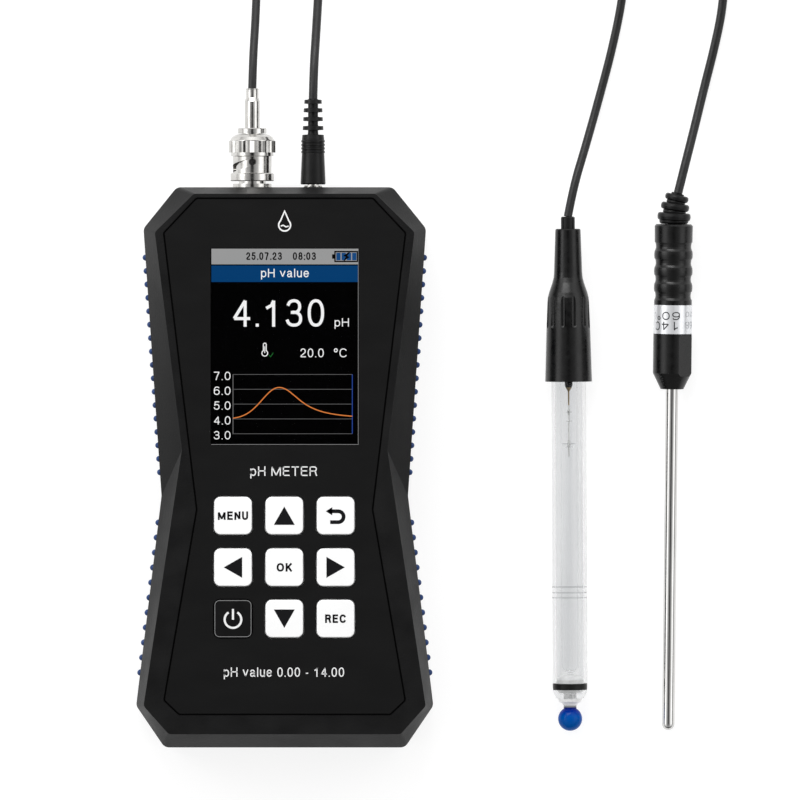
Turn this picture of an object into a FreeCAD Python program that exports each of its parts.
"""Handheld pH meter with a plugged-in pH electrode and temperature probe.

Frame: millimetres, +Z up out of the display, +Y towards the sockets, +X to the display's right.
The origin is the centre of the meter's back, which lies on the table with both probes beside it.
Each sub-part is written to parts/NODE.step as one solid, or as a group of like solids.
"""
import FreeCAD, Part
import math
import os
from FreeCAD import Placement, Rotation, Vector

# ---------------------------------------------------------------- driving dimensions: case
CASE_THICKNESS = 32.0
HALF_LENGTH = 82.5
SPLIT_Z = 9.5
BEVEL_START_Z = 25.0
WALL = 2.4
DECK_UNDERSIDE_Z = 29.8
OVERLAY_FLOOR_Z = 31.2
OVERLAY_TOP_Z = 31.7

# Half outlines as (half width, y), from the top corner to the bottom corner.
OUTER = [(31.8, 82.5), (41.6, 70.35), (36.3, -8.4), (43.76, -70.2), (35.4, -82.5)]
PLATEAU = [(26.7, 80.5), (38.2, 69.2), (30.2, 5.3), (41.5, -70.2), (34.1, -78.5)]
OVERLAY = [(25.95, 79.1), (35.5, 68.95), (25.8, -12.4), (35.4, -68.5), (31.05, -72.6)]

# ---------------------------------------------------------------- driving dimensions: display and keys
WINDOW_HALF_WIDTH = 21.75
WINDOW_Y = (6.6, 64.5)
LCD_HALF_WIDTH = 25.0
LCD_Y = (0.95, 70.15)
LCD_Z = (27.4, 29.7)
BOARD_Z = (24.0, 25.6)
KEY_SIZE = 11.1
KEY_CORNER = 1.9
KEY_GAP = 0.3
KEY_COLUMNS = (-15.2, -0.1, 15.0)
KEY_ROWS = (-14.2, -29.4, -44.5)
KEY_TOP_Z = 32.1
KEY_FLANGE_Z = (28.8, 29.5)
KEY_STEM_END_Z = 26.4
KEY_NAMES = (
    ("key_menu", "key_up", "key_back"),
    ("key_left", "key_ok", "key_right"),
    ("key_power", "key_down", "key_rec"),
)

# ---------------------------------------------------------------- driving dimensions: grip studs
STUD_RADIUS = 0.9
STUD_HOLE_RADIUS = 0.95
STUD_ROWS_Z = (12.6, 17.0, 21.4)
UPPER_STUDS = (17, 61.8, -1.46)
LOWER_STUDS = (11, -16.3, -60.5)

# ---------------------------------------------------------------- driving dimensions: fastenings
CASE_SCREW_AT = ((-33.5, 66.0), (33.5, 66.0), (-35.2, -62.0), (35.2, -62.0))
BOARD_SCREW_AT = ((-28.3, 58.0), (28.3, 58.0), (-27.5, -60.0), (27.5, -60.0))
CASE_BOSS_RADIUS = 3.6
BOARD_BOSS_RADIUS = 2.8

# ---------------------------------------------------------------- driving dimensions: sockets and plugs
SOCKET_Z = 16.0
BNC_X = -9.63
TEMP_X = 8.3
BNC_BARREL_RADIUS = 4.8
BNC_BARREL_BORE = 4.1
BNC_MOUTH_Y = 94.8
LUG_Y = 90.0
LUG_RADIUS = 1.0
LUG_REACH = 5.5
SLOT_DROP = 2.3
SLOT_HALF_WIDTH = 1.2
COLLAR_BORE = 4.9
COLLAR_START_Y = 84.4
COLLAR_SLEEVE_RADIUS = 5.75
BNC_CABLE_END_Y = 111.7
USB_Z = 22.3

# ---------------------------------------------------------------- driving dimensions: probes
# Distances along a probe are measured on its own axis, which starts level with the case's middle.
ELECTRODE_X = 83.85
ELECTRODE_LEAN = 0.27
TUBE_RADIUS = 5.1
TUBE_SPIGOT_RADIUS = 4.85
TIP_BAND_SPAN = (-65.8, -63.9)
TIP_BAND_GROOVE_RADIUS = 4.7
STEM_RADIUS = 2.7
TUBE_END = -65.0
CAP_RIM_RADIUS = 6.9
CAP_RIM = 25.3
CAP_TOP = 70.4
NECK_TOP = 74.0
BULB_RADIUS = 3.58
BULB_CENTRE = -74.35

SHEATH_RADIUS = 1.85
SHEATH_FLARE_RADIUS = 2.15
SHEATH_TIP = -77.8
TEMP_PROBE_X = 114.03
TEMP_PROBE_LEAN = -0.613
HANDLE_RADIUS = 5.7
HANDLE_SHOULDER = 27.8
HANDLE_END = 23.1
HANDLE_TOP = 71.8
BAND_SPAN = (39.5, 48.0)
RIDGE_COUNT = 3
RIDGE_PITCH = 4.85
RIDGE_START = 63.9
RIDGE_WIDTH = 2.3
RIDGE_EDGE_RADIUS = 5.58
RIDGE_STEP_RADIUS = 5.42
GRIP_WAIST_RADIUS = 5.2
FLAT_DISTANCE = 4.87
FLAT_FACES = 50.0
RELIEF_TURN = 15.0
RELIEF_BEND_RADIUS = 33.0

# ---------------------------------------------------------------- driving dimensions: cords
PH_CORD = 2.5
TEMP_CORD = 2.6
COIL_TURNS_PER_LAYER = 3.75
PH_COIL_AT = (76.0, 202.0)
TEMP_COIL_AT = (30.0, 178.0)
PH_COIL_RADIUS = 6.0 * PH_CORD
TEMP_COIL_RADIUS = 6.0 * TEMP_CORD


# ---------------------------------------------------------------- outline helpers
def mirrored(half):
    """Close a half outline by mirroring it about the Y axis; the points run clockwise."""
    return list(half) + [(-x, y) for x, y in reversed(half)]


def inset(points, distance):
    """Move each edge of a clockwise outline inwards, keeping one point per corner."""
    moved = []
    count = len(points)
    for i in range(count):
        before = shifted_edge(points[i - 1], points[i], distance)
        after = shifted_edge(points[i], points[(i + 1) % count], distance)
        moved.append(crossing(before, after))
    return moved


def shifted_edge(start, end, distance):
    """An edge's point and direction after a move to its right, which is inside a clockwise outline."""
    dx = end[0] - start[0]
    dy = end[1] - start[1]
    length = math.hypot(dx, dy)
    point = (start[0] + dy / length * distance, start[1] - dx / length * distance)
    return point, (dx / length, dy / length)


def crossing(first, second):
    """Where two lines, each a point and a direction, cross."""
    (ax, ay), (ux, uy) = first
    (bx, by), (vx, vy) = second
    along = ((bx - ax) * vy - (by - ay) * vx) / (ux * vy - uy * vx)
    return ax + ux * along, ay + uy * along


def rounded_wire(points, radius, z):
    """A closed wire through the points at height z, with each corner rounded."""
    count = len(points)
    corners = []
    for i in range(count):
        here = Vector(points[i][0], points[i][1], z)
        back = (Vector(points[i - 1][0], points[i - 1][1], z) - here).normalize()
        ahead = Vector(points[(i + 1) % count][0], points[(i + 1) % count][1], z) - here
        ahead = ahead.normalize()
        half_angle = back.getAngle(ahead) / 2.0
        reach = radius / math.tan(half_angle)
        bisector = (back + ahead).normalize()
        middle = here + bisector * (radius / math.sin(half_angle) - radius)
        corners.append((here + back * reach, middle, here + ahead * reach))
    edges = []
    for i in range(count):
        start, middle, end = corners[i]
        edges.append(Part.Arc(start, middle, end).toShape())
        edges.append(Part.LineSegment(end, corners[(i + 1) % count][0]).toShape())
    return Part.Wire(edges)


def prism(points, radius, z_low, z_high):
    """An upright prism with rounded corners."""
    face = Part.Face(rounded_wire(points, radius, z_low))
    return face.extrude(Vector(0, 0, z_high - z_low))


def layered(sections):
    """A solid with flat sides through (points, corner radius, z) sections."""
    wires = [rounded_wire(points, radius, z) for points, radius, z in sections]
    return Part.makeLoft(wires, True, True)


def rectangle(half_width, y_low, y_high):
    """A clockwise rectangle, centred on the Y axis."""
    return [(half_width, y_high), (half_width, y_low), (-half_width, y_low), (-half_width, y_high)]


def pad(x, y, size, radius, z_low, z_high):
    """An upright square block with rounded corners, centred on (x, y)."""
    half = size / 2.0
    points = [(x + half, y + half), (x + half, y - half), (x - half, y - half), (x - half, y + half)]
    return prism(points, radius, z_low, z_high)


def block(low, high):
    """A box between two corners."""
    size = [b - a for a, b in zip(low, high)]
    return Part.makeBox(size[0], size[1], size[2], Vector(*low))


def post(x, y, radius, z_low, z_high):
    """An upright cylinder."""
    return Part.makeCylinder(radius, z_high - z_low, Vector(x, y, z_low))


def turned(profile):
    """Turn a closed outline of (radius, distance) points about the local Z axis."""
    points = [Vector(radius, 0, along) for radius, along in profile]
    face = Part.Face(Part.makePolygon(points + [points[0]]))
    return face.revolve(Vector(0, 0, 0), Vector(0, 0, 1), 360)


def sleeve(outer, inner, low, high):
    """A plain tube about the local Z axis."""
    return turned([(inner, low), (outer, low), (outer, high), (inner, high)])


def rod(radius, low, high):
    """A plain rod about the local Z axis."""
    return Part.makeCylinder(radius, high - low, Vector(0, 0, low))


def on_axis(shape, x, z, tilt=0.0, lean=0.0):
    """Lay a shape's local Z axis along +Y through (x, 0, z), raised by tilt and turned by lean degrees."""
    turn = Rotation(Vector(0, 0, 1), lean).multiply(Rotation(Vector(1, 0, 0), tilt - 90.0))
    placed = shape.copy()
    placed.Placement = Placement(Vector(x, 0, z), turn).multiply(placed.Placement)
    return placed


def resting(first, second):
    """The tilt, in degrees, and height at zero of an axis that rests on two (radius, distance) rims."""
    tilt = math.atan2(first[0] - second[0], first[1] - second[1])
    height = first[0] * math.cos(tilt) - first[1] * math.sin(tilt)
    return math.degrees(tilt), height


# ---------------------------------------------------------------- case
def case_screw_bosses(z_low, z_high):
    return [post(x, y, CASE_BOSS_RADIUS, z_low, z_high) for x, y in CASE_SCREW_AT]


def stud_places(count, y_first, y_last):
    """The y of each stud in a row."""
    step = (y_last - y_first) / (count - 1)
    return [y_first + step * i for i in range(count)]


def wall_point(y):
    """The half width of the side wall at y, and the wall's outward direction as (x, y)."""
    corner_above, waist, corner_below = OUTER[1], OUTER[2], OUTER[3]
    start, end = (corner_above, waist) if y > waist[1] else (waist, corner_below)
    dx = end[0] - start[0]
    dy = end[1] - start[1]
    length = math.hypot(dx, dy)
    x = start[0] + dx * (y - start[1]) / dy
    return x, (-dy / length, dx / length)


def stud(side, y, z, radius, depth, rounded_end):
    """A pin through the side wall at (y, z), from depth inside it to the outside."""
    x, (nx, ny) = wall_point(y)
    outward = Vector(side * nx, ny, 0)
    start = Vector(side * x, y, z) - outward * depth
    if rounded_end:
        shank = Part.makeCylinder(radius, depth, start, outward)
        return shank.fuse(Part.makeSphere(radius, start + outward * depth))
    return Part.makeCylinder(radius, depth + 1.0, start, outward)


def stud_holes():
    holes = []
    for side in (-1, 1):
        for row in (UPPER_STUDS, LOWER_STUDS):
            for y in stud_places(*row):
                holes += [stud(side, y, z, STUD_HOLE_RADIUS, WALL + 0.5, False) for z in STUD_ROWS_Z]
    return Part.makeCompound(holes)


def usb_outline(margin):
    """The charging socket's rounded cross-section about the local Z axis."""
    half_width = 4.45 + margin
    half_height = 1.6 + margin
    points = [
        (half_width, half_height), (half_width, -half_height),
        (-half_width, -half_height), (-half_width, half_height),
    ]
    return points, half_height - 0.02


def usb_prism(margin, low, high):
    points, radius = usb_outline(margin)
    return on_axis(prism(points, radius, low, high), 0, USB_Z)


def make_front_case():
    """Top shell: side walls, bevel and the deck that carries the overlay, display and keys."""
    outer = mirrored(OUTER)
    plateau = mirrored(PLATEAU)
    shell = layered([
        (outer, 2.5, SPLIT_Z), (outer, 2.5, BEVEL_START_Z), (plateau, 1.5, CASE_THICKNESS),
    ])
    cavity_top = inset(plateau, 2.2)
    cavity = layered([
        (inset(outer, WALL), 1.0, SPLIT_Z - 1.0),
        (inset(outer, WALL), 1.0, BEVEL_START_Z - 1.0),
        (cavity_top, 0.8, DECK_UNDERSIDE_Z),
    ])
    shell = shell.cut(cavity)
    bosses = case_screw_bosses(SPLIT_Z, DECK_UNDERSIDE_Z + 0.2)
    bosses += [post(x, y, BOARD_BOSS_RADIUS, BOARD_Z[1], DECK_UNDERSIDE_Z + 0.2) for x, y in BOARD_SCREW_AT]
    shell = shell.fuse(bosses)
    return shell.cut(front_case_openings()).cut(stud_holes())


def front_case_openings():
    """Everything that is cut out of the top shell apart from the stud holes."""
    cuts = [prism(inset(mirrored(OVERLAY), -0.35), 1.2, OVERLAY_FLOOR_Z, CASE_THICKNESS + 1.0)]
    cuts.append(prism(rectangle(23.2, 5.2, 65.9), 0.8, DECK_UNDERSIDE_Z - 1.0, OVERLAY_FLOOR_Z + 0.5))
    for y in KEY_ROWS:
        for x in KEY_COLUMNS:
            cuts.append(key_opening(x, y, DECK_UNDERSIDE_Z - 1.0, OVERLAY_FLOOR_Z + 0.5))
    cuts += [post(x, y, 1.5, SPLIT_Z - 1.0, 20.0) for x, y in CASE_SCREW_AT]
    cuts += [post(x, y, 1.05, BOARD_Z[1] - 1.0, 29.3) for x, y in BOARD_SCREW_AT]
    cuts.append(on_axis(rod(4.05, 78.0, HALF_LENGTH + 1.0), BNC_X, SOCKET_Z))
    cuts.append(on_axis(rod(3.0, 78.0, HALF_LENGTH + 1.0), TEMP_X, SOCKET_Z))
    cuts.append(usb_prism(0.2, -HALF_LENGTH - 1.0, -HALF_LENGTH + WALL + 1.0))
    return cuts


def key_opening(x, y, z_low, z_high):
    return pad(x, y, KEY_SIZE + 2 * KEY_GAP, KEY_CORNER + KEY_GAP, z_low, z_high)


def make_rear_case():
    """Back shell: a shallow tray with a bevelled edge, a seal groove and four screw bosses."""
    outer = mirrored(OUTER)
    shell = layered([(inset(outer, 2.2), 2.0, 0.0), (outer, 2.5, 2.6), (outer, 2.5, SPLIT_Z)])
    cavity = layered([
        (inset(outer, 4.4), 1.0, 2.0),
        (inset(outer, WALL), 1.0, 4.0),
        (inset(outer, WALL), 1.0, SPLIT_Z + 1.0),
    ])
    shell = shell.cut(cavity)
    shell = shell.fuse([post(x, y, 4.6, 1.0, SPLIT_Z) for x, y in CASE_SCREW_AT] + battery_ribs())
    cuts = [post(x, y, 1.6, -1.0, SPLIT_Z + 1.0) for x, y in CASE_SCREW_AT]
    cuts += [post(x, y, 3.1, -1.0, 3.3) for x, y in CASE_SCREW_AT]
    cuts.append(seal_ring(0.85, 1.75, 8.6, SPLIT_Z + 1.0))
    cuts.append(prism(rectangle(24.0, 8.0, 50.0), 2.0, -1.0, 0.5))
    return shell.cut(cuts)


def battery_ribs():
    """Two low ribs that keep the battery in place."""
    return [block((-26.5, -50.0, 1.5), (-25.0, 0.0, 6.0)), block((25.0, -50.0, 1.5), (26.5, 0.0, 6.0))]


def seal_ring(outer_inset, inner_inset, z_low, z_high):
    outline = mirrored(OUTER)
    ring = prism(inset(outline, outer_inset), 2.0, z_low, z_high)
    return ring.cut(prism(inset(outline, inner_inset), 1.4, z_low - 1.0, z_high + 1.0))


def make_case_seal():
    return seal_ring(0.9, 1.7, 8.62, SPLIT_Z - 0.02)


def make_grip_strips():
    """Four blue rubber strips inside the side walls, each with three rows of studs that poke through."""
    strips = []
    for side in (-1, 1):
        for row in (UPPER_STUDS, LOWER_STUDS):
            places = stud_places(*row)
            pins = [stud(side, y, z, STUD_RADIUS, WALL + 0.6, True) for y in places for z in STUD_ROWS_Z]
            strips.append(strip_plate(side, places[0] + 2.5, places[-1] - 2.5).fuse(pins))
    return strips


def strip_plate(side, y_top, y_bottom):
    """A strip's flat backing, just inside the wall."""
    points = []
    for y, depth in ((y_top, 0.05), (y_bottom, 0.05), (y_bottom, 1.05), (y_top, 1.05)):
        x, (nx, ny) = wall_point(y)
        points.append(Vector(side * (x - nx * (WALL + depth)), y - ny * (WALL + depth), 10.9))
    face = Part.Face(Part.makePolygon(points + [points[0]]))
    return face.extrude(Vector(0, 0, 12.2))


def make_case_screws():
    """Four pan-head screws with crossed slots, driven in from the back."""
    screws = []
    for x, y in CASE_SCREW_AT:
        screw = post(x, y, 2.7, 1.2, 3.3).fuse(post(x, y, 1.45, 3.3, 16.0))
        cross = block((x - 1.5, y - 0.35, 0.0), (x + 1.5, y + 0.35, 2.3))
        cross = cross.fuse(block((x - 0.35, y - 1.5, 0.0), (x + 0.35, y + 1.5, 2.3)))
        screws.append(screw.cut(cross))
    return screws


# ---------------------------------------------------------------- display and keypad
def make_front_overlay():
    """Glossy front sheet with openings for the display and the nine keys."""
    sheet = prism(mirrored(OVERLAY), 1.0, OVERLAY_FLOOR_Z, OVERLAY_TOP_Z)
    cuts = [window_prism(0.05, OVERLAY_FLOOR_Z - 1.0, OVERLAY_TOP_Z + 1.0)]
    for y in KEY_ROWS:
        for x in KEY_COLUMNS:
            cuts.append(key_opening(x, y, OVERLAY_FLOOR_Z - 1.0, OVERLAY_TOP_Z + 1.0))
    return sheet.cut(cuts)


def window_prism(margin, z_low, z_high):
    outline = rectangle(WINDOW_HALF_WIDTH + margin, WINDOW_Y[0] - margin, WINDOW_Y[1] + margin)
    return prism(outline, 0.4, z_low, z_high)


def make_display_window():
    """Clear lens: its flange lies in the deck under the overlay, and its face is flush with the overlay."""
    flange = prism(rectangle(23.1, 5.3, 65.8), 0.7, 30.0, OVERLAY_FLOOR_Z - 0.02)
    return flange.fuse(window_prism(0.0, 31.0, OVERLAY_TOP_Z - 0.04))


def make_lcd_panel():
    return prism(rectangle(LCD_HALF_WIDTH, *LCD_Y), 0.6, *LCD_Z)


def make_lcd_frame():
    """Spacer between the board and the display."""
    frame = prism(rectangle(LCD_HALF_WIDTH, *LCD_Y), 0.6, BOARD_Z[1], LCD_Z[0])
    hole = prism(rectangle(LCD_HALF_WIDTH - 2.0, LCD_Y[0] + 2.0, LCD_Y[1] - 2.0), 0.6, 25.0, 28.0)
    return frame.cut(hole)


def make_key(x, y):
    """Key cap with a crowned edge, a flange under the deck and a stem over its contact."""
    cap = pad(x, y, KEY_SIZE, KEY_CORNER, KEY_FLANGE_Z[0], KEY_TOP_Z)
    rim = [edge for edge in cap.Edges if min(v.Z for v in edge.Vertexes) > KEY_TOP_Z - 0.01]
    cap = cap.makeFillet(0.35, rim)
    flange = pad(x, y, KEY_SIZE + 1.9, KEY_CORNER + 0.6, *KEY_FLANGE_Z)
    return cap.fuse([flange, post(x, y, 2.5, KEY_STEM_END_Z, KEY_FLANGE_Z[0] + 0.2)])


def make_keypad_mat():
    """Silicone tray over the board, with a hole for each key's stem."""
    tray = prism(rectangle(23.4, -52.9, -5.8), 1.5, BOARD_Z[1], 28.0)
    cuts = [prism(rectangle(22.2, -51.7, -7.0), 0.8, BOARD_Z[1] - 1.0, 27.2)]
    cuts += [post(x, y, 2.8, 27.0, 29.0) for x in KEY_COLUMNS for y in KEY_ROWS]
    return tray.cut(cuts)


def make_key_contacts():
    return [post(x, y, 2.6, BOARD_Z[1], BOARD_Z[1] + 0.15) for x in KEY_COLUMNS for y in KEY_ROWS]


# ---------------------------------------------------------------- electronics and power
def make_main_board():
    board = prism(inset(mirrored(OUTER), 6.8), 2.0, *BOARD_Z)
    cuts = [post(x, y, 1.2, 23.0, 27.0) for x, y in BOARD_SCREW_AT]
    cuts += [post(x, y, CASE_BOSS_RADIUS + 0.6, 23.0, 27.0) for x, y in CASE_SCREW_AT]
    return board.cut(cuts)


def make_board_components():
    """Chips and connectors on the board's underside."""
    top = BOARD_Z[0]
    places = (
        ((-12.0, 24.0), (14.0, 14.0), 1.4),
        ((8.0, 30.0), (7.0, 7.0), 1.2),
        ((-16.0, 52.0), (10.0, 6.0), 3.2),
        ((10.0, 54.0), (9.0, 6.0), 2.6),
        ((0.0, -30.0), (12.0, 8.0), 1.6),
        ((18.0, -20.0), (5.0, 9.0), 2.2),
        ((-18.0, -12.0), (4.0, 4.0), 3.0),
        ((-4.0, -62.0), (8.0, 5.0), 1.8),
    )
    parts = []
    for (x, y), (width, depth), height in places:
        low = (x - width / 2, y - depth / 2, top - height)
        parts.append(block(low, (x + width / 2, y + depth / 2, top)))
    return parts


def make_battery_pack():
    """Flat rechargeable pouch cell, held between the ribs."""
    cell = prism(rectangle(24.0, -54.0, 5.0), 3.0, 2.3, 11.3)
    flat_edges = [edge for edge in cell.Edges if abs(edge.BoundBox.ZLength) < 0.01]
    return cell.makeFillet(1.6, flat_edges)


def make_battery_lead():
    """Lead from the cell to its connector under the board."""
    x = 15.0
    bend = 3.0
    start = Vector(x, 5.0, 7.0)
    before = Vector(x, 12.0 - bend, 7.0)
    middle = Vector(x, 12.0 - bend + bend * math.sin(math.pi / 4), 7.0 + bend * (1 - math.cos(math.pi / 4)))
    after = Vector(x, 12.0, 7.0 + bend)
    end = Vector(x, 12.0, 21.0)
    path = Part.Wire([
        Part.LineSegment(start, before).toShape(),
        Part.Arc(before, middle, after).toShape(),
        Part.LineSegment(after, end).toShape(),
    ])
    lead = tube_along(path, 0.9, start, Vector(0, 1, 0))
    return lead.fuse(block((x - 3.0, 9.5, 20.5), (x + 3.0, 14.5, BOARD_Z[0])))


def make_board_screws():
    screws = []
    for x, y in BOARD_SCREW_AT:
        screws.append(post(x, y, 2.2, 22.6, 24.0).fuse(post(x, y, 1.0, 24.0, 29.0)))
    return screws


def make_usb_socket():
    """Charging socket under the board's bottom edge, with its contact tongue."""
    low = -HALF_LENGTH + 0.3
    shell = usb_prism(0.0, low, low + 7.6)
    shell = shell.cut(usb_prism(-0.3, low - 1.0, low + 6.4))
    return shell.fuse(block((-3.3, low + 1.0, USB_Z - 0.35), (3.3, low + 6.6, USB_Z + 0.35)))


# ---------------------------------------------------------------- sockets in the top wall
def make_bnc_jack_shell():
    """Bayonet socket: threaded stem, flange, barrel and two lugs."""
    bore = 2.2
    shell = turned([
        (bore, 74.0), (4.0, 74.0), (4.0, HALF_LENGTH), (5.75, HALF_LENGTH), (5.75, 83.6), (4.0, 83.6),
        (4.0, 84.5), (BNC_BARREL_RADIUS, 85.3), (BNC_BARREL_RADIUS, BNC_MOUTH_Y - 0.3),
        (BNC_BARREL_RADIUS - 0.3, BNC_MOUTH_Y), (BNC_BARREL_BORE, BNC_MOUTH_Y), (BNC_BARREL_BORE, 86.0),
        (bore, 86.0),
    ])
    lug = Part.makeCylinder(LUG_RADIUS, LUG_REACH - 4.4, Vector(0, 4.4, LUG_Y), Vector(0, 1, 0))
    other_lug = Part.makeCylinder(LUG_RADIUS, LUG_REACH - 4.4, Vector(0, -4.4, LUG_Y), Vector(0, -1, 0))
    return on_axis(shell.fuse([lug, other_lug]), BNC_X, SOCKET_Z)


def hexagon(across_corners_radius, bore, low, high):
    """A plain nut about the local Z axis."""
    points = []
    for i in range(6):
        angle = math.radians(60 * i)
        points.append(Vector(across_corners_radius * math.cos(angle),
                             across_corners_radius * math.sin(angle), low))
    face = Part.Face(Part.makePolygon(points + [points[0]]))
    return face.extrude(Vector(0, 0, high - low)).cut(rod(bore, low - 1.0, high + 1.0))


def make_jack_nuts():
    inner_wall = HALF_LENGTH - WALL
    bnc_nut = on_axis(hexagon(6.6, 4.0, inner_wall - 2.4, inner_wall), BNC_X, SOCKET_Z)
    temp_nut = on_axis(hexagon(4.6, 2.95, inner_wall - 2.0, inner_wall), TEMP_X, SOCKET_Z)
    return [bnc_nut, temp_nut]


def make_bnc_jack_insulator():
    return on_axis(sleeve(2.15, 1.05, 74.5, 91.8), BNC_X, SOCKET_Z)


def make_bnc_jack_contact():
    """Centre contact: a socket for the plug's pin, and a solder tail inside the meter."""
    contact = turned([
        (0.0, 70.0), (0.6, 70.0), (0.6, 76.0), (1.0, 76.0), (1.0, 91.6), (0.72, 91.6), (0.72, 86.0),
        (0.0, 86.0),
    ])
    return on_axis(contact, BNC_X, SOCKET_Z)


def make_temp_jack():
    """Closed socket body behind the wall."""
    body = block((TEMP_X - 4.5, 64.0, SOCKET_Z - 4.0), (TEMP_X + 4.5, 76.0, SOCKET_Z + 4.0))
    return body.cut(on_axis(rod(1.95, 67.5, 77.0), TEMP_X, SOCKET_Z))


def make_temp_jack_bushing():
    bushing = turned([
        (1.83, 76.0), (2.95, 76.0), (2.95, HALF_LENGTH + 0.1), (2.7, HALF_LENGTH + 0.25),
        (2.7, HALF_LENGTH + 0.6), (1.83, HALF_LENGTH + 0.6),
    ])
    return on_axis(bushing, TEMP_X, SOCKET_Z)


# ---------------------------------------------------------------- bayonet plug
def knurled_ring(radius, depth, teeth, bore, low, high):
    """A ring with straight V grooves."""
    points = []
    for i in range(2 * teeth):
        angle = math.pi * i / teeth
        reach = radius if i % 2 == 0 else radius - depth
        points.append(Vector(reach * math.cos(angle), reach * math.sin(angle), low))
    face = Part.Face(Part.makePolygon(points + [points[0]]))
    return face.extrude(Vector(0, 0, high - low)).cut(rod(bore, low - 1.0, high + 1.0))


def bayonet_slot():
    """Cutters for the space one lug needs: a quarter turn of helix, then straight out of the mouth.

    The slot starts at angle 0 at its low end and climbs to angle 90 degrees, where the lug is locked.
    """
    low = LUG_Y - SLOT_DROP
    radius = 5.2
    inner = 4.5
    outer = 7.5
    helix = Part.makeHelix(4.0 * SLOT_DROP, SLOT_DROP, radius)
    helix.translate(Vector(0, 0, low))
    corners = [
        Vector(inner, 0, low - SLOT_HALF_WIDTH), Vector(outer, 0, low - SLOT_HALF_WIDTH),
        Vector(outer, 0, low + SLOT_HALF_WIDTH), Vector(inner, 0, low + SLOT_HALF_WIDTH),
    ]
    profile = Part.makePolygon(corners + [corners[0]])
    ramp = Part.Wire(helix.Edges).makePipeShell([profile], True, True)
    locked = Part.makeCylinder(SLOT_HALF_WIDTH, outer - inner, Vector(0, inner, LUG_Y), Vector(0, 1, 0))
    entry = Part.makeCylinder(SLOT_HALF_WIDTH, outer - inner, Vector(inner, 0, low), Vector(1, 0, 0))
    lead_in = block((inner, -SLOT_HALF_WIDTH, COLLAR_START_Y - 1.0), (outer, SLOT_HALF_WIDTH, low))
    return [locked, ramp, entry, lead_in]


def make_bnc_collar():
    """Locking collar: slotted sleeve, knurled grip and a back wall that turns on the plug's neck."""
    sleeve_part = turned([
        (COLLAR_BORE, COLLAR_START_Y), (6.4, COLLAR_START_Y), (6.5, COLLAR_START_Y + 0.2), (6.5, 86.5),
        (6.3, 86.7), (COLLAR_SLEEVE_RADIUS, 86.8), (COLLAR_SLEEVE_RADIUS, 91.6), (6.3, 91.8),
        (6.3, 93.0), (COLLAR_BORE, 93.0),
    ])
    grip = knurled_ring(6.9, 0.28, 32, COLLAR_BORE, 92.8, 96.2)
    back = turned([
        (COLLAR_BORE, 95.5), (6.6, 95.5), (6.6, 96.4), (6.0, 97.4), (4.9, 98.1), (4.3, 98.2),
        (3.2, 98.2), (3.2, 96.3), (COLLAR_BORE, 96.3),
    ])
    collar = sleeve_part.fuse([grip, back])
    for turn in (0, 180):
        for cutter in bayonet_slot():
            cutter.rotate(Vector(0, 0, 0), Vector(0, 0, 1), turn)
            collar = collar.cut(cutter)
    return on_axis(collar, BNC_X, SOCKET_Z)


def make_bnc_plug_body():
    """Plug shell: a tube that enters the socket, a retaining flange, and a neck behind the collar."""
    body = turned([
        (2.45, 86.6), (3.7, 86.6), (3.9, 86.9), (3.9, 95.2), (4.6, 95.2), (4.6, 96.1), (3.12, 96.1),
        (3.12, 98.4), (4.25, 98.4), (4.25, 99.8), (4.1, 100.0), (2.3, 100.0), (1.5, 100.0), (1.5, 97.0),
        (2.45, 97.0),
    ])
    return on_axis(body, BNC_X, SOCKET_Z)


def make_bnc_ferrule():
    """Crimp ferrule that closes on the cable."""
    ferrule = turned([
        (0.0, 100.0), (2.25, 100.0), (2.25, 107.9), (1.85, 109.0), (1.85, 111.2), (1.95, BNC_CABLE_END_Y),
        (0.0, BNC_CABLE_END_Y),
    ])
    return on_axis(ferrule, BNC_X, SOCKET_Z)


def make_bnc_plug_insulator():
    return on_axis(sleeve(2.4, 0.7, 92.2, 96.9), BNC_X, SOCKET_Z)


def make_bnc_plug_pin():
    pin = turned([(0.0, 87.2), (0.35, 87.2), (0.66, 87.9), (0.66, 99.9), (0.0, 99.9)])
    return on_axis(pin, BNC_X, SOCKET_Z)


def make_bnc_gasket():
    """Rubber ring between the plug's flange and the socket's mouth."""
    return on_axis(sleeve(4.6, 3.95, BNC_MOUTH_Y + 0.05, 95.18), BNC_X, SOCKET_Z)


# ---------------------------------------------------------------- temperature plug
def make_temp_plug_body():
    """Moulded plug: tapered grip with four fine ribs and a strain relief of four thin rings."""
    outline = [(0.0, 83.4), (3.5, 83.4), (3.7, 83.7), (3.33, 92.4)]
    for i in range(4):
        rib = 92.6 + 1.05 * i
        outline += [(3.3, rib), (3.5, rib + 0.15), (3.5, rib + 0.6), (3.3, rib + 0.75)]
    outline += [(3.28, 97.0), (3.17, 98.05), (1.6, 98.15)]
    for ring, radius in ((100.05, 3.07), (102.7, 2.93), (105.3, 2.8), (107.8, 2.6)):
        outline += [(1.5, ring - 0.7), (radius, ring - 0.6), (radius - 0.06, ring + 0.55), (1.5, ring + 0.65)]
    outline += [(1.45, 108.6), (0.0, 108.6)]
    return on_axis(turned(outline), TEMP_X, SOCKET_Z)


def make_temp_plug_barrel():
    """Three-contact plug pin, with its rounded tip at the inner end."""
    pin = turned([
        (0.0, 68.9), (0.7, 69.1), (1.6, 71.2), (1.2, 72.2), (1.75, 73.0), (1.75, 76.3), (1.62, 76.4),
        (1.62, 77.0), (1.75, 77.1), (1.75, 79.8), (1.62, 79.9), (1.62, 80.5), (1.75, 80.6), (1.75, 83.4),
        (0.0, 83.4),
    ])
    return on_axis(pin, TEMP_X, SOCKET_Z)


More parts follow.
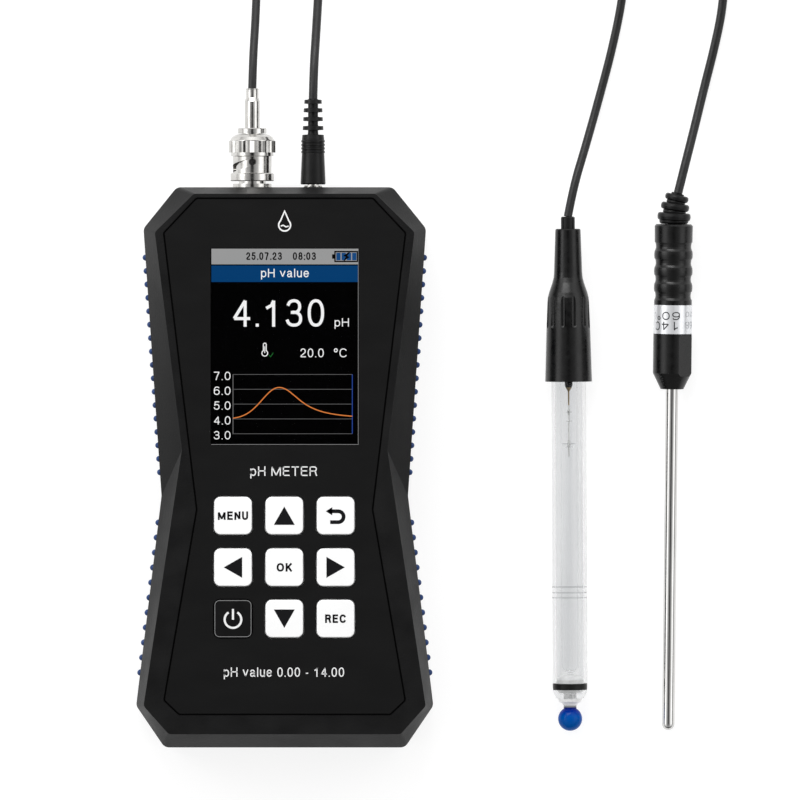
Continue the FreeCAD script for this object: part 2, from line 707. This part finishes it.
# ---------------------------------------------------------------- pH electrode
def on_electrode(shape):
    tilt, height = resting((CAP_RIM_RADIUS, CAP_RIM), (TUBE_RADIUS, TUBE_END))
    return on_axis(shape, ELECTRODE_X, height, tilt, ELECTRODE_LEAN)


def make_electrode_neck():
    neck = turned([
        (0.0, 62.0), (1.9, 62.0), (1.9, CAP_TOP), (2.065, CAP_TOP), (2.065, NECK_TOP - 0.3),
        (1.8, NECK_TOP), (0.0, NECK_TOP),
    ])
    return on_electrode(neck)


def make_electrode_cap():
    """Moulded cap: a slim top, a curved shoulder with twelve flutes, and a skirt over the tube."""
    bore = TUBE_SPIGOT_RADIUS + 0.05
    points = [(3.5, CAP_TOP), (3.735, CAP_TOP - 0.3), (4.15, 57.5)]
    steps = 6
    for i in range(1, steps + 1):
        swell = 2.0 * math.sin(math.radians(90 * i / steps)) ** 2
        points.append((4.15 + swell, 57.5 - 8.8 * i / steps))
    points += [(6.45, 41.0), (CAP_RIM_RADIUS, CAP_RIM + 0.4), (CAP_RIM_RADIUS, CAP_RIM), (bore, CAP_RIM)]
    points += [(bore, 45.0), (1.95, 48.0), (1.95, CAP_TOP)]
    cap = turned(points)
    return on_electrode(cap.cut(flutes()))


def flutes():
    """Twelve grooves with rounded ends around the shoulder."""
    cutters = []
    for i in range(12):
        angle = math.radians(30 * i + 15)
        x = 7.05 * math.cos(angle)
        y = 7.05 * math.sin(angle)
        groove = Part.makeCylinder(1.15, 9.0, Vector(x, y, 42.0))
        ends = [Part.makeSphere(1.15, Vector(x, y, along)) for along in (42.0, 51.0)]
        groove = groove.fuse(ends)
        cutters.append(groove)
    return cutters


def make_electrode_tube():
    """Clear outer tube: a spigot in the cap, a straight shaft, a groove, and an end round the tip plug."""
    inner = 4.1
    groove_low, groove_high = TIP_BAND_SPAN
    tube = turned([
        (inner, 44.5), (TUBE_SPIGOT_RADIUS, 44.5), (TUBE_SPIGOT_RADIUS, CAP_RIM), (TUBE_RADIUS, CAP_RIM),
        (TUBE_RADIUS, groove_high), (TIP_BAND_GROOVE_RADIUS, groove_high),
        (TIP_BAND_GROOVE_RADIUS, groove_low), (5.03, groove_low), (5.0, -66.2), (4.6, -67.4),
        (3.9, -68.3), (1.95, -68.3), (1.95, -67.2), (3.4, -67.0), (inner, -66.0),
    ])
    return on_electrode(tube)


def make_electrode_inner_tube():
    """Clear stem inside the tube, closed at its lower end."""
    inner = STEM_RADIUS - 0.4
    stem = turned([
        (inner, 43.0), (STEM_RADIUS, 43.0), (STEM_RADIUS, -59.0), (1.9, -60.4), (0.0, -60.9), (0.0, -60.3),
        (1.6, -59.9), (inner, -58.6),
    ])
    return on_electrode(stem)


def make_electrode_wire():
    """Silver wire in a small glass seal, with the cable's black end sleeve at its top."""
    wire = turned([
        (0.0, 43.0), (1.15, 43.0), (1.15, 24.2), (0.8, 23.3), (0.25, 22.4), (0.2, 17.2), (0.45, 16.7),
        (0.45, 15.9), (0.2, 15.4), (0.2, 8.0), (0.5, 7.4), (0.5, 6.6), (0.2, 6.0), (0.2, 3.3), (0.0, 3.0),
    ])
    return on_electrode(wire)


def make_electrode_band():
    """Black ring in the groove near the tube's end."""
    low = TIP_BAND_SPAN[0] + 0.02
    high = TIP_BAND_SPAN[1] - 0.02
    inner = TIP_BAND_GROOVE_RADIUS + 0.02
    ring = turned([
        (inner, low), (TUBE_RADIUS - 0.05, low), (TUBE_RADIUS, TUBE_END), (TUBE_RADIUS, high), (inner, high),
    ])
    return on_electrode(ring)


def make_electrode_tip_plug():
    """White plug with a domed top that closes the tube and carries the bulb."""
    plug = turned([
        (0.0, -61.1), (1.6, -61.2), (3.0, -61.6), (3.8, -62.2), (4.05, -62.8), (4.05, -65.6), (3.4, -66.6),
        (1.9, -66.8), (1.9, -68.35), (3.6, -68.35), (3.35, -69.2), (2.35, -69.9), (2.03, -70.4), (0.0, -70.4),
    ])
    return on_electrode(plug)


def make_electrode_bulb():
    """Sensing bulb with its short neck."""
    bulb = Part.makeSphere(BULB_RADIUS, Vector(0, 0, BULB_CENTRE))
    return on_electrode(bulb.fuse(rod(1.9, BULB_CENTRE + 2.0, -70.4)))


# ---------------------------------------------------------------- temperature probe
def on_temp_probe(shape):
    tilt, height = resting((HANDLE_RADIUS, HANDLE_SHOULDER), (SHEATH_RADIUS, SHEATH_TIP + SHEATH_RADIUS))
    return on_axis(shape, TEMP_PROBE_X, height, tilt, TEMP_PROBE_LEAN)


def make_temp_probe_handle():
    """Moulded handle: a cup, scallops between three grip ridges, a seat for the band, a flat, and a nose."""
    edges = []
    here = Vector(0, 0, HANDLE_TOP)

    def line_to(radius, along):
        nonlocal here
        there = Vector(radius, 0, along)
        edges.append(Part.LineSegment(here, there).toShape())
        here = there

    def arc_to(middle_radius, radius, along):
        nonlocal here
        there = Vector(radius, 0, along)
        middle = Vector(middle_radius, 0, (here.z + along) / 2)
        edges.append(Part.Arc(here, middle, there).toShape())
        here = there

    cup_radius = HANDLE_RADIUS - 0.05
    line_to(cup_radius - 0.5, HANDLE_TOP)
    line_to(cup_radius, HANDLE_TOP - 0.5)
    line_to(RIDGE_EDGE_RADIUS, RIDGE_START + RIDGE_PITCH - RIDGE_WIDTH)
    for i in range(RIDGE_COUNT + 1):
        low = RIDGE_START - RIDGE_PITCH * i
        line_to(RIDGE_STEP_RADIUS, here.z)
        for radius, above in ((5.27, 2.0), (GRIP_WAIST_RADIUS, 1.3), (5.27, 0.7), (RIDGE_STEP_RADIUS, 0.3)):
            line_to(radius, low + above)
        line_to(RIDGE_EDGE_RADIUS, low)
        if i < RIDGE_COUNT:
            arc_to(HANDLE_RADIUS, RIDGE_EDGE_RADIUS, low - RIDGE_WIDTH)
    for radius, along in (
        (HANDLE_RADIUS - 0.1, BAND_SPAN[1]), (5.45, BAND_SPAN[1]), (5.45, BAND_SPAN[0]),
        (HANDLE_RADIUS, BAND_SPAN[0]), (HANDLE_RADIUS, HANDLE_SHOULDER), (3.4, HANDLE_END),
        (SHEATH_FLARE_RADIUS, HANDLE_END), (SHEATH_FLARE_RADIUS, 38.0), (0.0, 38.0), (0.0, HANDLE_TOP),
    ):
        line_to(radius, along)
    handle = Part.Face(Part.Wire(edges)).revolve(Vector(0, 0, 0), Vector(0, 0, 1), 360)
    return on_temp_probe(handle.cut(handle_flat()))


def handle_flat():
    """The pocket that leaves a flat face with rounded lower corners on the handle's upper right."""
    low = HANDLE_SHOULDER - 0.9
    high = BAND_SPAN[0] - 0.3
    half_width = 2.95
    outline = [(half_width, high), (half_width, low), (-half_width, low), (-half_width, high)]
    pocket = prism(outline, 1.1, FLAT_DISTANCE, FLAT_DISTANCE + 2.0)
    pocket.rotate(Vector(0, 0, 0), Vector(1, 0, 0), 90)
    pocket.rotate(Vector(0, 0, 0), Vector(0, 0, 1), FLAT_FACES)
    return pocket


def make_temp_probe_band():
    return on_temp_probe(sleeve(5.72, 5.45, *BAND_SPAN))


def make_temp_probe_relief():
    """Flexible relief: a bent core with three thick rings that get smaller towards the cable."""
    bend = math.radians(RELIEF_TURN)
    bend_start = HANDLE_TOP + 0.6
    centre = Vector(RELIEF_BEND_RADIUS, 0, bend_start)

    def on_bend(angle):
        return centre + Vector(-math.cos(angle), 0, math.sin(angle)) * RELIEF_BEND_RADIUS

    base = Vector(0, 0, HANDLE_TOP)
    path = Part.Wire([
        Part.LineSegment(base, on_bend(0.0)).toShape(),
        Part.Arc(on_bend(0.0), on_bend(bend / 2), on_bend(bend)).toShape(),
    ])
    core = tube_along(path, 1.9, base, Vector(0, 0, 1))
    steps = []
    for share, radius, thickness in (
        (0.04, 4.3, 1.6), (0.19, 4.9, 2.2), (0.36, 3.4, 1.6),
        (0.53, 4.2, 2.0), (0.69, 2.8, 1.6), (0.84, 3.5, 1.8),
    ):
        half = thickness / 2
        step = turned([
            (0.0, half), (radius - 0.5, half), (radius - 0.12, half - 0.28), (radius, 0.15), (radius, -0.15),
            (radius - 0.12, 0.28 - half), (radius - 0.5, -half), (0.0, -half),
        ])
        step.Placement = Placement(on_bend(bend * share), Rotation(Vector(0, 1, 0), RELIEF_TURN * share))
        steps.append(step)
    return on_temp_probe(core.fuse(steps))


def make_temp_probe_sheath():
    """Stainless tube with a closed round tip, and a flared end that the handle is moulded round."""
    inner = 1.45
    edges = []
    tip = Vector(0, 0, SHEATH_TIP)
    centre = SHEATH_TIP + SHEATH_RADIUS
    diagonal = SHEATH_RADIUS * math.sin(math.pi / 4)
    side = Vector(SHEATH_RADIUS, 0, centre)
    edges.append(Part.Arc(tip, Vector(diagonal, 0, centre - diagonal), side).toShape())
    here = side
    outline = [(SHEATH_RADIUS, HANDLE_END), (SHEATH_FLARE_RADIUS, HANDLE_END), (SHEATH_FLARE_RADIUS, 37.9),
               (inner, 37.9), (inner, centre), (0.0, centre), (0.0, SHEATH_TIP)]
    for radius, along in outline:
        edges.append(Part.LineSegment(here, Vector(radius, 0, along)).toShape())
        here = Vector(radius, 0, along)
    sheath = Part.Face(Part.Wire(edges)).revolve(Vector(0, 0, 0), Vector(0, 0, 1), 360)
    return on_temp_probe(sheath)


def make_thermistor_bead():
    bead = turned([
        (0.0, -75.8), (0.8, -75.6), (1.2, -74.6), (1.2, -72.4), (0.5, -71.4), (0.5, 30.0), (0.0, 30.0),
    ])
    return on_temp_probe(bead)


# ---------------------------------------------------------------- cords
PH_METER_ROUTE = [
    (-9.63, 111.7, 16.0), (-9.4, 121.0, 15.4), (-8.7, 132.0, 10.6), (-8.3, 144.5, 4.6),
    (-9.2, 159.0, 1.25), (-10.2, 175.0, 1.25), (-7.5, 191.5, 1.25), (1.5, 206.0, 1.25),
    (15.5, 217.0, 1.25), (34.0, 221.6, 1.25), (54.5, 223.2, 2.5), (76.0, 221.69, 3.75),
]
PH_PROBE_ROUTE = [
    (83.51, 74.0, 7.87), (85.2, 83.0, 7.2), (88.7, 94.5, 3.9), (92.5, 108.0, 1.3), (96.4, 122.5, 1.25),
    (99.6, 137.5, 1.25), (101.2, 153.0, 1.25), (101.2, 168.5, 1.25), (98.9, 180.5, 1.25),
    (96.6, 191.5, 1.25), (95.69, 202.0, 1.25),
]
TEMP_METER_ROUTE = [
    (8.3, 108.6, 16.0), (8.5, 117.5, 15.6), (9.2, 128.5, 11.6), (9.9, 141.0, 5.2), (10.3, 154.0, 1.3),
    (10.2, 166.5, 1.3), (9.525, 178.0, 1.3),
]
TEMP_PROBE_ROUTE = [
    (116.02, 80.88, 7.67), (118.3, 90.0, 6.8), (121.0, 100.5, 3.6), (123.8, 112.0, 1.35),
    (126.9, 124.0, 1.3), (129.4, 136.0, 1.3), (130.0, 148.5, 1.3), (121.8, 158.4, 3.0),
    (108.0, 160.0, 7.4), (92.5, 157.0, 7.4), (80.5, 152.0, 2.6), (68.5, 148.6, 1.3),
    (58.6, 151.8, 1.3), (52.6, 159.2, 1.3), (50.8, 168.6, 2.2), (50.475, 178.0, 3.9),
]


def rounded_path(points):
    """Straight runs joined by tangent arcs; returns the wire, its length and the arc radii."""
    vectors = [Vector(*p) for p in points]
    edges = []
    radii = []
    here = vectors[0]
    for before, corner, after in zip(vectors, vectors[1:], vectors[2:]):
        back = before - corner
        ahead = after - corner
        reach = 0.45 * min(back.Length, ahead.Length)
        half_turn = (math.pi - back.getAngle(ahead)) / 2.0
        radius = reach / math.tan(half_turn)
        radii.append(radius)
        back.normalize()
        ahead.normalize()
        start = corner + back * reach
        end = corner + ahead * reach
        bisector = (back + ahead).normalize()
        middle = corner + bisector * (radius / math.cos(half_turn) - radius)
        edges.append(Part.LineSegment(here, start).toShape())
        edges.append(Part.Arc(start, middle, end).toShape())
        here = end
    edges.append(Part.LineSegment(here, vectors[-1]).toShape())
    return Part.Wire(edges), sum(edge.Length for edge in edges), radii


def tube_along(path, radius, start, direction):
    profile = Part.Wire(Part.makeCircle(radius, start, direction))
    return path.makePipeShell([profile], True, True)


def make_cable(name, points, diameter):
    """A cord's tube, checked against its section times its length."""
    path, length, radii = rounded_path(points)
    direction = (Vector(*points[1]) - Vector(*points[0])).normalize()
    tube = tube_along(path, diameter / 2.0, Vector(*points[0]), direction)
    expected = math.pi * diameter ** 2 / 4.0 * length
    runs = [(Vector(*b) - Vector(*a)).Length for a, b in zip(points, points[1:])]
    print(name, "length %.1f" % length, "volume ratio %.4f" % (tube.Volume / expected))
    print("  radii in diameters", ["%.1f" % (radius / diameter) for radius in radii])
    print("  runs", ["%.1f" % run for run in runs])
    return tube


def make_coil(centre, middle_radius, diameter):
    """The outer shape of a neat coil of two layers."""
    half_width = (COIL_TURNS_PER_LAYER + 1.0) * diameter / 2.0
    ring = sleeve(middle_radius + half_width, middle_radius - half_width, 0.0, 2.0 * diameter)
    ring.translate(Vector(centre[0], centre[1], 0))
    return ring


# ---------------------------------------------------------------- writing
def save(name, shape):
    """Write one node, checking that each of its solids is valid."""
    solids = []
    for item in shape if isinstance(shape, list) else [shape]:
        solids += item.Solids
    for solid in solids:
        if not solid.isValid():
            raise ValueError(name + " holds a solid that isn't valid")
    whole = solids[0] if len(solids) == 1 else Part.makeCompound(solids)
    whole.exportStep("parts/" + name + ".step")
    print("%-22s %2d solid(s) %10.1f mm3" % (name, len(solids), sum(solid.Volume for solid in solids)))


NODES = {
    "front_case": make_front_case,
    "rear_case": make_rear_case,
    "case_seal": make_case_seal,
    "grip_strips": make_grip_strips,
    "case_screws": make_case_screws,
    "front_overlay": make_front_overlay,
    "display_window": make_display_window,
    "lcd_panel": make_lcd_panel,
    "lcd_frame": make_lcd_frame,
    "keypad_mat": make_keypad_mat,
    "key_contacts": make_key_contacts,
    "main_board": make_main_board,
    "board_components": make_board_components,
    "board_screws": make_board_screws,
    "battery_pack": make_battery_pack,
    "battery_lead": make_battery_lead,
    "usb_socket": make_usb_socket,
    "bnc_jack_shell": make_bnc_jack_shell,
    "bnc_jack_insulator": make_bnc_jack_insulator,
    "bnc_jack_contact": make_bnc_jack_contact,
    "jack_nuts": make_jack_nuts,
    "temp_jack": make_temp_jack,
    "temp_jack_bushing": make_temp_jack_bushing,
    "bnc_collar": make_bnc_collar,
    "bnc_plug_body": make_bnc_plug_body,
    "bnc_ferrule": make_bnc_ferrule,
    "bnc_plug_insulator": make_bnc_plug_insulator,
    "bnc_plug_pin": make_bnc_plug_pin,
    "bnc_gasket": make_bnc_gasket,
    "temp_plug_body": make_temp_plug_body,
    "temp_plug_barrel": make_temp_plug_barrel,
    "electrode_neck": make_electrode_neck,
    "electrode_cap": make_electrode_cap,
    "electrode_tube": make_electrode_tube,
    "electrode_inner_tube": make_electrode_inner_tube,
    "electrode_wire": make_electrode_wire,
    "electrode_band": make_electrode_band,
    "electrode_tip_plug": make_electrode_tip_plug,
    "electrode_bulb": make_electrode_bulb,
    "temp_probe_handle": make_temp_probe_handle,
    "temp_probe_band": make_temp_probe_band,
    "temp_probe_relief": make_temp_probe_relief,
    "temp_probe_sheath": make_temp_probe_sheath,
    "thermistor_bead": make_thermistor_bead,
}


def main():
    os.makedirs("parts", exist_ok=True)
    for name, make in NODES.items():
        save(name, make())
    for names, y in zip(KEY_NAMES, KEY_ROWS):
        for name, x in zip(names, KEY_COLUMNS):
            save(name, make_key(x, y))
    save("ph_cable_meter_end", make_cable("ph_cable_meter_end", PH_METER_ROUTE, PH_CORD))
    save("ph_cable_probe_end", make_cable("ph_cable_probe_end", PH_PROBE_ROUTE, PH_CORD))
    save("ph_cable_coil", make_coil(PH_COIL_AT, PH_COIL_RADIUS, PH_CORD))
    save("temp_cable_meter_end", make_cable("temp_cable_meter_end", TEMP_METER_ROUTE, TEMP_CORD))
    save("temp_cable_probe_end", make_cable("temp_cable_probe_end", TEMP_PROBE_ROUTE, TEMP_CORD))
    save("temp_cable_coil", make_coil(TEMP_COIL_AT, TEMP_COIL_RADIUS, TEMP_CORD))


main()
